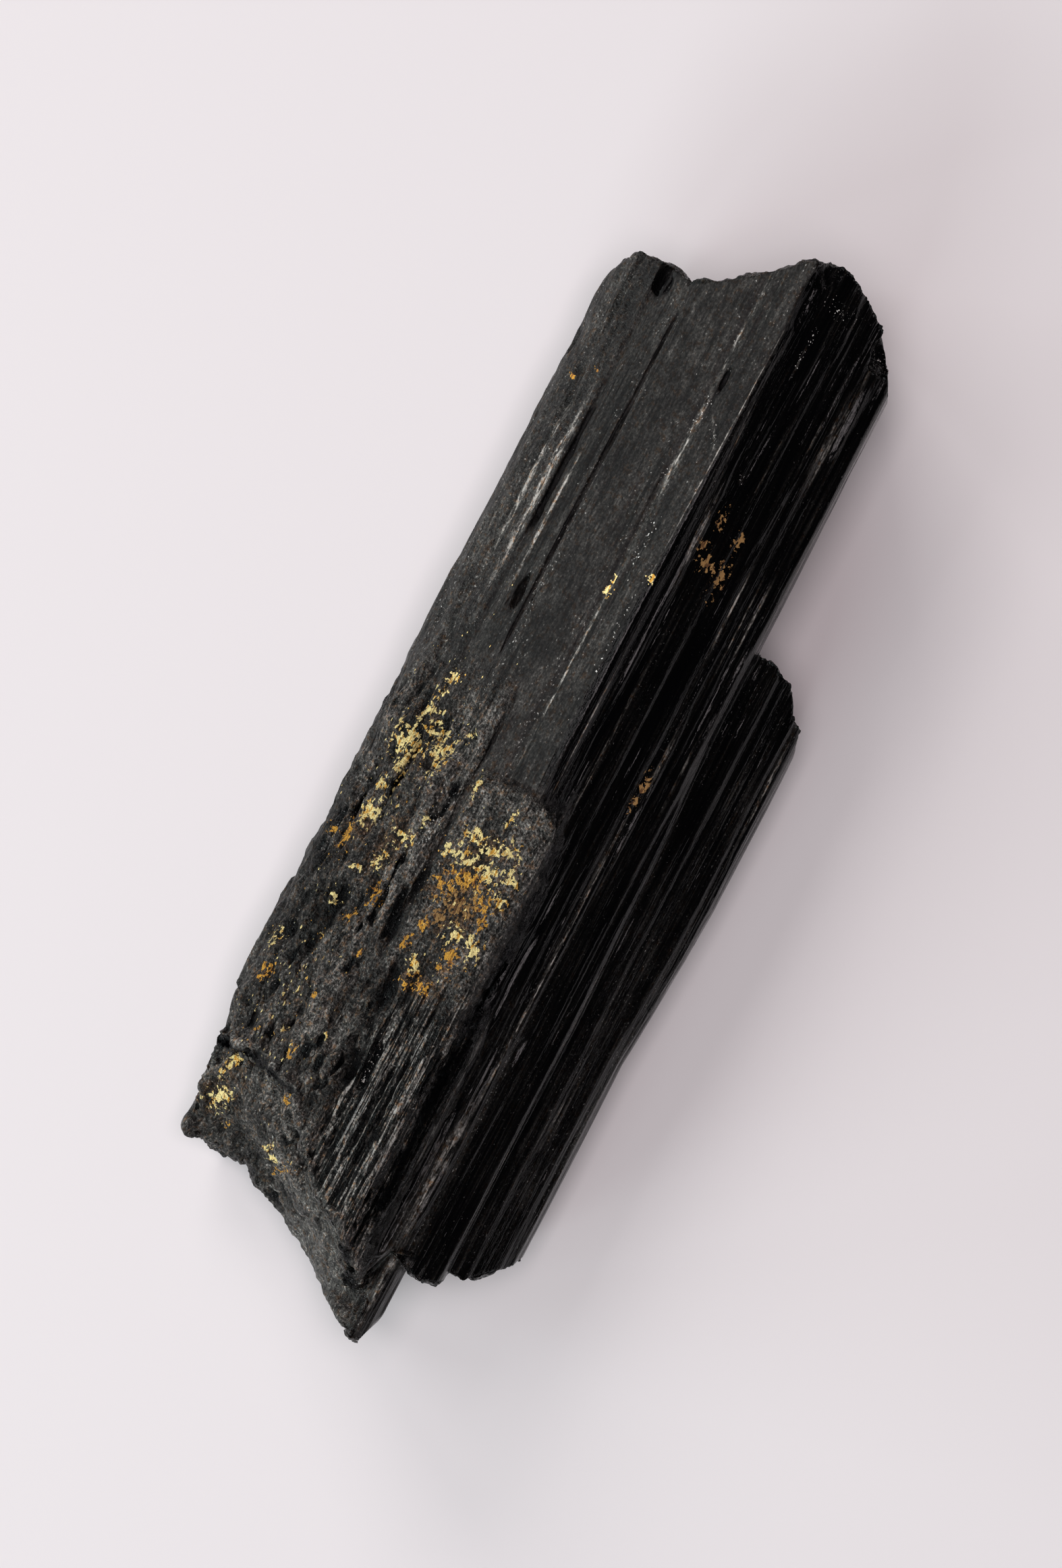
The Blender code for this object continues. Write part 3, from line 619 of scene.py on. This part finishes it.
schorlValues = {
    "ior": 1.64,
    "specularLevel": 0.10,              # worn faces shade themselves, so they shine less than polished ones
    "glossRoughness": 0.14, "dustRoughness": 0.55, "stainRoughness": 0.8,
    "brokenRoughness": -0.22,           # added on rough places, where small fresh faces glint
    "black": "#020203", "dust": "#aaa59f", "dustBrown": "#94704e", "speckWhite": "#d2d0cc",
    "stainPale": "#fae5a0", "stainGold": "#d79f42", "stainBrown": "#8a5c33",
    "stainDim": "#9c784b", "stainDark": "#5d4029",
    # patterns, as (stretch along the rods, size in metres, octaves)
    "patterns": {
        "bands": (40.0, 0.0012, 2.0), "strands": (22.0, 0.00040, 2.0), "hairs": (50.0, 0.00016, 1.0),
        "dashes": (5.0, 0.00022, 2.0), "grit": (1.4, 0.00015, 2.0), "mottle": (1.6, 0.0012, 4.0),
        "edges": (1.2, 0.00040, 3.0), "specks": (2.6, 0.00024, 1.0), "flakes": (1.1, 0.00040, 4.0),
        "patches": (2.5, 0.0045, 2.0), "fibres": (40.0, 0.00021, 2.0), "grain": (1.1, 0.00020, 3.0),
    },
    "patternRoughness": 0.62,
    # how patterns and marks are read, as (from, to), or (from, to, result at from, result at to)
    "ranges": {
        "unevenBorder": (0.0, 1.0, -0.4, 0.4), "dusty": (0.10, -0.10), "film": (0.35, 0.65, 0.0, 0.5),
        "cut": (0.40, 0.34), "pit": (-0.02, -0.22), "streak": (1.3, 0.4, 0.0, 0.28),
        "worn": (0.40, 0.56, 0.4, 1.35), "cloudy": (0.38, 0.62, -0.5, 0.4),
        "crumbs": (0.88, 1.26, -0.35, 4.0), "ridges": (0.48, 0.62, -0.92, 3.8),
        "brown": (0.53, 0.64, 0.0, 0.8), "glint": (0.53, 0.60, 0.0, 2.0), "speck": (0.87, 0.96, 0.0, 0.7),
        "fewerSpecks": (0.0, 1.0, 0.2, 1.0), "stain": (0.75, 0.60), "mainColour": (0.40, 0.47),
    },
    # how the dust lies: the share of each pattern, the power that makes it patchy, and its strength
    "dustShares": {
        "bands": 0.10, "strands": 0.12, "hairs": 0.06, "dashes": 0.18, "grit": 0.28, "mottle": 0.16,
        "patches": 0.10,
    },
    "dustPower": 8.5, "dustStrength": 0.047,
    # and the fine light lines on the glossy side, in the same way
    "shineShares": {"hairs": 0.28, "strands": 0.32, "bands": 0.25, "grit": 0.15},
    "shinePower": 13.0, "shineStrength": 0.0036,
    # how much lighter each mark makes the tone, and how much browner the halos make the dust
    "lighter": {"slab": 1.1, "ragged": 0.3, "broken": 0.5, "lumpy": 0.75, "bandDust": 1.0},
    "haloBrown": 0.14,
    "speckBands": 0.35,                 # how closely the specks gather along the bands
    # what breaks the stains up, as a pattern's (factor, level), in radii
    "breaking": {"flakes": (-8.5, 4.42), "grit": (-10.0, 6.85), "specks": (-10.0, 7.2)},
    # kinds of stain, as (main colour, darker colour, what breaks it up)
    "stainKinds": {
        "pale": ("stainPale", "stainGold", "flakes"), "gold": ("stainGold", "stainBrown", "flakes"),
        "dim": ("stainDim", "stainDark", "flakes"), "white": ("speckWhite", "dust", "grit"),
        "stray": ("stainPale", "stainGold", "specks"),
    },
    # bump heights in metres: each pattern's own, and the crumbs', as (added on rough places, everywhere)
    "bumps": {"hairs": 0.000015, "strands": 0.00004, "dashes": 0.00003, "fibres": 0.00003},
    "crumbBump": (0.0011, 0.00003),
    "crumbGrain": 0.45,                 # share of the finer pattern in the crumbs' bump
    # stains by kind, as (x, y, half width, half length), in mm
    "stains": {
        "pale": [
            (-8.7, 4.3, 0.35, 0.7), (-8.8, 3.0, 0.35, 0.7), (-8.9, 1.4, 0.35, 0.7), (-9.2, -1.5, 0.9, 1.3),
            (-9.1, -3.1, 0.45, 1.0), (-7.7, 0.1, 1.1, 0.7), (-7.1, -0.9, 0.8, 1.1), (-6.7, -2.2, 0.4, 0.7),
            (-9.5, -7.3, 0.6, 1.0), (-6.7, -7.9, 0.6, 0.6), (-7.2, -10.2, 0.4, 0.8),
            (-9.0, -14.2, 0.3, 0.4), (-9.6, -5.0, 0.25, 0.4), (-10.6, -12.0, 0.2, 0.5),
            (-8.2, -11.4, 0.2, 0.25), (-8.6, -17.3, 0.2, 0.25), (-4.9, -23.5, 0.2, 0.3),
            (-8.0, -24.6, 0.2, 0.25), (-5.6, 1.2, 0.2, 0.4), (-10.6, 0.6, 0.2, 0.4), (-5.6, -6.2, 0.2, 0.4),
            (-11.4, -18.9, 0.3, 1.1), (-10.7, -29.0, 0.3, 0.9), (-9.8, -31.3, 0.8, 0.7),
            (-4.7, -32.5, 0.4, 0.25), (-3.9, -33.2, 0.5, 0.25), (-1.9, -5.4, 0.8, 0.6),
            (-0.3, -5.9, 0.9, 0.6), (0.9, -5.3, 0.7, 0.7), (1.9, -7.0, 0.6, 0.7), (-1.8, -7.2, 1.2, 0.8),
            (0.3, -7.4, 1.1, 0.8), (1.9, -8.9, 0.5, 0.7), (1.3, -12.4, 0.3, 0.7), (0.0, -3.0, 0.3, 0.6),
            (0.1, -12.6, 0.5, 1.1), (2.0, -13.1, 0.5, 0.8), (-1.6, -15.9, 0.4, 0.6),
            (-3.45, -1.7, 0.2, 0.9), (-3.3, -7.4, 0.3, 0.7), (-1.6, 15.5, 0.3, 0.7), (0.8, 17.6, 0.3, 0.25),
        ],
        "gold": [
            (-10.2, -9.5, 0.6, 1.1), (-11.6, -9.7, 0.4, 0.4), (-6.5, -12.5, 0.35, 0.9),
            (-5.6, -17.0, 0.2, 0.25), (-9.8, -25.5, 0.2, 0.3), (-7.4, -14.9, 0.4, 0.4),
            (-11.0, -21.2, 0.45, 0.7), (-6.9, -21.2, 0.3, 0.4), (-6.7, -25.8, 0.3, 0.6),
            (-5.6, -29.4, 0.3, 0.5), (-8.3, -32.9, 0.25, 0.3), (-3.2, -33.8, 0.4, 0.25),
            (-0.8, -8.5, 1.3, 0.8), (-2.0, -9.6, 0.9, 1.1), (0.9, -9.6, 0.8, 0.9), (1.6, -11.0, 0.5, 0.8),
            (-2.3, -12.9, 0.4, 0.6), (0.5, -14.3, 0.6, 0.9), (-1.6, -17.3, 0.4, 0.5),
            (-0.6, -17.0, 0.7, 0.5), (-2.8, -14.6, 0.4, 0.5), (-9.8, 29.4, 0.15, 0.2),
            (-11.4, 28.2, 0.15, 0.2),
        ],
        "dim": [
            (-0.6, -10.5, 1.3, 1.1), (-1.6, -11.8, 0.6, 0.9), (4.0, 20.4, 0.6, 0.6), (5.35, 20.1, 0.4, 1.3),
            (3.1, 21.5, 0.3, 0.4), (3.5, 23.9, 0.3, 0.7), (5.4, 23.1, 0.3, 0.6), (7.5, 4.0, 0.25, 1.0),
            (7.4, 2.2, 0.25, 0.6),
        ],
        "white": [
            (-1.4, 31.0, 0.35, 1.2), (-1.5, 29.3, 0.45, 1.2), (-0.2, 29.6, 0.3, 0.7), (0.2, 28.9, 0.3, 0.5),
            (-1.9, 24.8, 0.4, 1.2), (3.15, 37.2, 0.35, 1.2), (3.4, 27.3, 0.35, 0.4), (-1.7, 36.0, 0.2, 1.2),
            (4.2, 41.6, 1.6, 0.8), (3.2, 39.0, 0.3, 1.6), (8.3, 39.7, 0.9, 0.7), (-0.9, 20.0, 0.5, 3.0),
            (0.4, 13.0, 0.25, 6.0), (-9.6, 24.0, 0.25, 3.0), (-1.0, -24.0, 0.4, 4.0),
            (-5.0, -6.0, 1.2, 5.0),
        ],
        "stray": [
            (-8.8, -3.5, 3.0, 9.0), (-0.2, -10.0, 2.8, 6.8), (-8.8, -21.0, 3.0, 9.0),
        ],
    },
    # pale streaks, partly dust and partly painted sheen and reflections of narrow facets, as (x, y, half
    # width, half length, lean across for each mm along), in mm
    "dustAndSheenStreaks": [
        (-9.5, 19, 0.26, 9.5, 0), (-10.5, 21, 0.15, 7, 0), (0.95, 30, 0.05, 13, 0.02),
        (-8.1, 18, 0.15, 6, 0), (-1.6, 36, 0.13, 6, 0), (-1.5, 28, 0.22, 5, 0), (-1.5, 9, 0.08, 8, 0),
        (0.0, 29.3, 0.13, 1.1, -0.6), (3.15, 37, 0.12, 1.4, 0), (3.4, 27.3, 0.2, 0.6, 0),
        (2.15, 24.5, 0.11, 9.5, -0.068), (2.6, 21.5, 0.3, 5.0, -0.068), (1.7, 6, 0.1, 8, 0),
        (4.75, 29, 0.09, 3.5, 0), (5.5, 42, 0.13, 1.8, 0), (6.85, 32, 0.12, 3.5, 0), (7.9, 33, 0.5, 5.5, 0),
        (7.2, 18, 0.13, 4, 0), (8.3, 18, 0.12, 4, 0), (9.0, 17, 0.12, 4, 0), (10.25, 25, 0.09, 14, 0),
        (3.6, 5, 0.12, 7, 0), (7.85, 5.5, 0.2, 3.5, 0), (7.45, -12, 0.14, 15, 0), (9.5, 6.5, 0.13, 5, 0),
        (11.1, -12.5, 0.11, 6, 0), (11.15, -27, 0.09, 7, 0), (13.1, -21, 0.13, 3, 0), (15.6, 7, 0.14, 5, 0),
        (7.2, -29, 0.55, 6, 0), (-1.6, -26, 0.12, 2.2, 0), (2.35, -26.5, 0.14, 6.5, 0),
        (2.75, -27.5, 0.12, 6, 0), (3.1, -28.5, 0.1, 4, 0), (1.6, -23, 0.12, 4, 0), (0.2, -24, 0.12, 5, 0),
        (-0.3, -28, 0.1, 3, 0), (5.4, -23, 0.18, 7, 0), (7.3, -38.3, 0.3, 3.4, 0),
    ],
}


def nearestMark(tree, across, along, table):
    # how far the surface is from the nearest ellipse of the table, in radii
    nearest = None
    leaning = {}
    for x, y, halfWidth, halfLength, lean in table:
        if lean not in leaning:
            upright = maths(tree, "MULTIPLY_ADD", along, -lean, across)
            leaning[lean] = addNode(tree, "ShaderNodeCombineXYZ", {"X": upright, "Y": along})
        size = (1.0 / halfWidth, 1.0 / halfLength, 0.0)
        centre = ((lean * y - x) / halfWidth, -y / halfLength, 0.0)
        shape = addNode(tree, "ShaderNodeVectorMath", {0: leaning[lean], 1: size, 2: centre},
                        operation="MULTIPLY_ADD")
        far = addNode(tree, "ShaderNodeVectorMath", {0: shape}, out="Value", operation="LENGTH")
        nearest = far if nearest is None else maths(tree, "MINIMUM", nearest, far)
    return nearest


def patchy(tree, noises, name, streak):
    # patterns added by their shares, then made patchy: most places low and a few high; a pattern's mean is
    # a half, so its share counts twice
    total = streak
    for pattern, share in schorlValues[name + "Shares"].items():
        total = maths(tree, "MULTIPLY_ADD", noises[pattern], 2.0 * share, total)
    high = maths(tree, "POWER", total, schorlValues[name + "Power"])
    return maths(tree, "MULTIPLY", high, schorlValues[name + "Strength"])


def schorlRange(tree, value, name):
    return mapRange(tree, value, schorlValues["ranges"][name])


def schorlColour(name):
    return linearColour(schorlValues[name])


def findDust(tree, marks, noises):
    # dust lies on the faces left of the crest and in thin films on others; grooves, pits and the strip under
    # the rim are painted dark as shade
    uneven = schorlRange(tree, noises["edges"], "unevenBorder")
    border = maths(tree, "ADD", marks["pastCrest"], uneven)
    dusty = schorlRange(tree, border, "dusty")
    dusty = maths(tree, "MULTIPLY", dusty, marks["dustReach"])
    film = schorlRange(tree, noises["mottle"], "film")
    film = maths(tree, "MULTIPLY", film, marks["film"])
    dusty = maths(tree, "MAXIMUM", dusty, film)
    cut = schorlRange(tree, noises["strands"], "cut")
    cut = maths(tree, "MULTIPLY", cut, marks["grooved"])
    pit = schorlRange(tree, marks["relief"], "pit")
    dark = joined(tree, "MAXIMUM", [cut, pit, marks["groove"], marks["underRim"]])
    return dusty, maths(tree, "SUBTRACT", 1.0, dark)


def findDustAndSheenStreaks(tree, marks, noises):
    # pale streaks, partly dust and partly painted sheen, interrupted along their length
    streak = nearestMark(tree, marks["across"], marks["along"], schorlValues["dustAndSheenStreaks"])
    streak = schorlRange(tree, streak, "streak")
    worn = schorlRange(tree, noises["dashes"], "worn")
    streak = maths(tree, "MULTIPLY", streak, worn)
    return maths(tree, "MULTIPLY", streak, marks["facingUp"])


def findTone(tree, marks, noises, dusty, unshaded, streak):
    # dust on the dusty side, fine light lines on the glossy side, and crumbs where it is rough
    dust = patchy(tree, noises, "dust", streak)
    shine = patchy(tree, noises, "shine", streak)
    tone = mix(tree, dusty, shine, dust, "FLOAT")
    lighter = 1.0
    for name, more in schorlValues["lighter"].items():
        lighter = maths(tree, "MULTIPLY_ADD", marks[name], more, lighter)
    # painted shade: grooves, pits, the strip under the rim and the low foot darken the tone
    lighter = maths(tree, "MULTIPLY", lighter, unshaded)
    tone = maths(tree, "MULTIPLY", tone, lighter)
    rough = joined(tree, "MAXIMUM", [marks[name] for name in ("broken", "lumpy", "slab", "ragged")])
    notDarkened = maths(tree, "MULTIPLY_ADD", marks["cleaner"], -1.0, 1.0)
    tone = maths(tree, "MULTIPLY", tone, notDarkened)
    cloudy = schorlRange(tree, noises["patches"], "cloudy")
    cloudy = maths(tree, "MULTIPLY_ADD", cloudy, marks["lumpy"], 1.0)
    tone = maths(tree, "MULTIPLY", tone, cloudy)
    crumbs = maths(tree, "ADD", noises["edges"], noises["grain"])
    crumbs = schorlRange(tree, crumbs, "crumbs")
    crumbs = maths(tree, "MULTIPLY_ADD", crumbs, rough, 1.0)
    tone = maths(tree, "MULTIPLY", tone, crumbs)
    ridges = schorlRange(tree, noises["fibres"], "ridges")
    ridges = maths(tree, "MULTIPLY_ADD", ridges, marks["ragged"], 1.0)
    return maths(tree, "MULTIPLY", tone, ridges, use_clamp=True), rough


def addSpecks(tree, marks, noises, colour, dusty, streak):
    # painted glints on the ragged striae, then specks: the few highest places of a fine pattern
    glint = schorlRange(tree, noises["hairs"], "glint")
    glint = maths(tree, "MULTIPLY", glint, streak)
    glint = maths(tree, "MULTIPLY", glint, marks["ragged"])
    colour = mix(tree, glint, colour, schorlColour("speckWhite"))
    gathered = maths(tree, "MULTIPLY_ADD", noises["bands"], schorlValues["speckBands"], noises["grit"])
    speck = schorlRange(tree, gathered, "speck")
    fewer = schorlRange(tree, dusty, "fewerSpecks")
    speck = maths(tree, "MULTIPLY", speck, fewer)
    return mix(tree, speck, colour, schorlColour("speckWhite"))


def addStains(tree, marks, noises, colour):
    # patches broken up into small flakes of a main colour, with a darker one here and there between them
    breaking = {name: maths(tree, "MULTIPLY_ADD", noises[name], factor, level)
                for name, (factor, level) in schorlValues["breaking"].items()}
    stained = None
    for kind, (main, darker, pattern) in schorlValues["stainKinds"].items():
        table = [row + (0,) for row in schorlValues["stains"][kind]]
        reach = nearestMark(tree, marks["across"], marks["along"], table)
        reach = maths(tree, "ADD", reach, breaking[pattern])
        share = schorlRange(tree, reach, "stain")
        share = maths(tree, "MULTIPLY", share, marks["facingUp"])
        toMain = schorlRange(tree, noises["dashes"], "mainColour")
        flake = mix(tree, toMain, schorlColour(darker), schorlColour(main))
        colour = mix(tree, share, colour, flake)
        stained = share if stained is None else maths(tree, "MAXIMUM", stained, share)
    return colour, stained


def fineRelief(tree, noises, rough):
    # finer than the mesh: hair striae everywhere, crumbs on the rough places
    gritty = maths(tree, "MULTIPLY_ADD", rough, *schorlValues["crumbBump"])
    height = maths(tree, "MULTIPLY_ADD", noises["grain"], schorlValues["crumbGrain"], noises["edges"])
    height = maths(tree, "MULTIPLY", height, gritty)
    for name, depth in schorlValues["bumps"].items():
        height = maths(tree, "MULTIPLY_ADD", noises[name], depth, height)
    return addNode(tree, "ShaderNodeBump", {"Height": height, "Strength": 1.0, "Distance": 1.0})


def makeSchorl():
    # grown crystal faces: glassy black where clean, dull grey where fine dust lies in the striae,
    # with small flakes of ochre stain and pale mineral specks, and painted shade, sheen and glints in places
    material = bpy.data.materials.new("schorlCrystal")
    material.use_nodes = True
    tree = material.node_tree
    shader = tree.nodes["Principled BSDF"]
    shader.inputs["IOR"].default_value = schorlValues["ior"]
    shader.inputs["Specular IOR Level"].default_value = schorlValues["specularLevel"]
    place = addNode(tree, "ShaderNodeTexCoord", out="Object")
    marks = {name: addNode(tree, "ShaderNodeAttribute", out="Fac", attribute_name=name)
             for name in ("across", "along", "facingUp", "dustReach", "pastCrest", "broken", "lumpy", "slab",
                          "ragged", "film", "relief", "grooved", "underRim", "groove", "halo", "bandDust",
                          "cleaner")}
    noises = {}
    for name, (stretch, size, octaves) in schorlValues["patterns"].items():
        vector = addNode(tree, "ShaderNodeMapping", {"Vector": place, "Scale": (1.0, 1.0 / stretch, 1.0)})
        noises[name] = addNode(tree, "ShaderNodeTexNoise",
                               {"Vector": vector, "Scale": 1.0 / size, "Detail": octaves,
                                "Roughness": schorlValues["patternRoughness"]}, normalize=True)
    dusty, unshaded = findDust(tree, marks, noises)
    streak = findDustAndSheenStreaks(tree, marks, noises)
    tone, rough = findTone(tree, marks, noises, dusty, unshaded, streak)
    # black under dust, which is browner round the stains
    brown = maths(tree, "MULTIPLY_ADD", marks["halo"], schorlValues["haloBrown"], noises["edges"])
    brown = schorlRange(tree, brown, "brown")
    dustColour = mix(tree, brown, schorlColour("dust"), schorlColour("dustBrown"))
    colour = mix(tree, tone, schorlColour("black"), dustColour)
    colour = addSpecks(tree, marks, noises, colour, dusty, streak)
    colour, stained = addStains(tree, marks, noises, colour)
    tree.links.new(colour, shader.inputs["Base Color"])
    # gloss
    dull = mix(tree, dusty, schorlValues["glossRoughness"], schorlValues["dustRoughness"], "FLOAT")
    dull = maths(tree, "MULTIPLY_ADD", rough, schorlValues["brokenRoughness"], dull, use_clamp=True)
    dull = mix(tree, stained, dull, schorlValues["stainRoughness"], "FLOAT")
    tree.links.new(dull, shader.inputs["Roughness"])
    tree.links.new(fineRelief(tree, noises, rough), shader.inputs["Normal"])
    return material


schorl = makeSchorl()
crystal.data.materials.clear()
crystal.data.materials.append(schorl)
addRelief(crystal, schorl)
triangles = sum(len(face.vertices) - 2 for face in crystal.data.polygons)
print("relief added:", triangles, "triangles")

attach(crystal, "root")
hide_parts(rodValues["node"])
